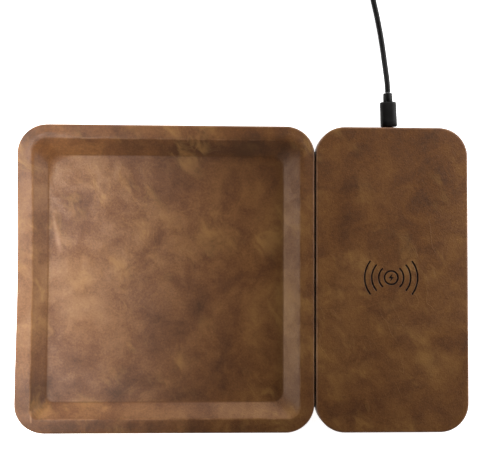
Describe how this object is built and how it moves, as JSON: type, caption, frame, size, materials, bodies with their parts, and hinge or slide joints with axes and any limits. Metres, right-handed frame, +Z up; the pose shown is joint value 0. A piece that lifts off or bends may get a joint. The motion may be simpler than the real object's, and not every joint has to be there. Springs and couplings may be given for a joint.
{
  "type": "wireless charging pad",
  "caption": "Leather-covered desk set: a flat wireless charging pad held magnetically beside a dished catch-all tray, with its charging lead plugged into the pad's back edge.",
  "frame": {"origin": "centre of the two modules' outline, on the surface that the rubber feet stand on", "axes": "+X from the tray to the charging pad, +Y to the back where the lead plugs in, +Z up"},
  "size_m": [0.3096, 0.3685, 0.0165],
  "materials": {
    "leather": "waxed pull-up leather, brown with ochre and dark mottling, soft sheen",
    "moulded_black": "moulded, fine satin texture",
    "lining": "short-nap microfibre",
    "foot_rubber": "matt",
    "screw_steel": "zinc plated",
    "magnet_nickel": "nickel plated",
    "seam_felt": "dense black felt",
    "copper": "enamelled copper wire",
    "ferrite": "sintered, matt",
    "board_green": "solder resist over glass fibre board",
    "chip_black": "moulded epoxy",
    "capacitor_tan": "sintered",
    "bead_black": "dipped epoxy bead",
    "plug_steel": "bright plated pressed steel",
    "cord_black": "soft matt cable jacket and overmoulding",
    "insert_white": "moulded",
    "tie_black": "woven hook-and-loop tape"
  },
  "bodies": {
    "tray": {"tray_core": "moulded_black", "tray_leather": "leather", "tray_base": "moulded_black", "tray_lining": "lining", "tray_foot_1": "foot_rubber", "tray_foot_2": "foot_rubber", "tray_foot_3": "foot_rubber", "tray_foot_4": "foot_rubber", "tray_screw_1": "screw_steel", "tray_screw_2": "screw_steel", "tray_screw_3": "screw_steel", "tray_screw_4": "screw_steel", "tray_magnet_1": "magnet_nickel", "tray_magnet_2": "magnet_nickel", "tray_magnet_3": "magnet_nickel", "seam_strip": "seam_felt"},
    "charging_pad": {"pad_top_shell": "moulded_black", "pad_leather": "leather", "pad_base": "moulded_black", "pad_lining": "lining", "pad_foot_1": "foot_rubber", "pad_foot_2": "foot_rubber", "pad_foot_3": "foot_rubber", "pad_foot_4": "foot_rubber", "pad_screw_1": "screw_steel", "pad_screw_2": "screw_steel", "pad_screw_3": "screw_steel", "pad_screw_4": "screw_steel", "pad_magnet_1": "magnet_nickel", "pad_magnet_2": "magnet_nickel", "pad_magnet_3": "magnet_nickel", "charging_coil": "copper", "ferrite_sheet": "ferrite", "coil_carrier": "moulded_black", "coil_thermistor": "bead_black", "coil_lead_1": "copper", "coil_lead_2": "copper", "control_board": "board_green", "controller_chip": "chip_black", "bridge_chip": "chip_black", "power_choke": "ferrite", "coil_capacitor_1": "capacitor_tan", "coil_capacitor_2": "capacitor_tan", "board_screw_1": "screw_steel", "board_screw_2": "screw_steel", "socket_shell": "plug_steel", "socket_tongue": "insert_white"},
    "lead": {"plug_shell": "plug_steel", "plug_overmould": "cord_black", "plug_strain_relief": "cord_black", "cord": "cord_black", "cord_coil": "cord_black", "cord_tie": "tie_black", "cord_tail": "cord_black", "usb_strain_relief": "cord_black", "usb_housing": "cord_black", "usb_shell": "plug_steel", "usb_insert": "insert_white"}
  },
  "joints": [
    {"name": "pad_pull_off", "type": "slide", "parent": "tray", "child": "charging_pad", "axis": [1, 0, 0], "range_m": [0, 0.04]},
    {"name": "lead_unplug", "type": "slide", "parent": "charging_pad", "child": "lead", "axis": [0, 1, 0], "range_m": [0, 0.012]}
  ]
}
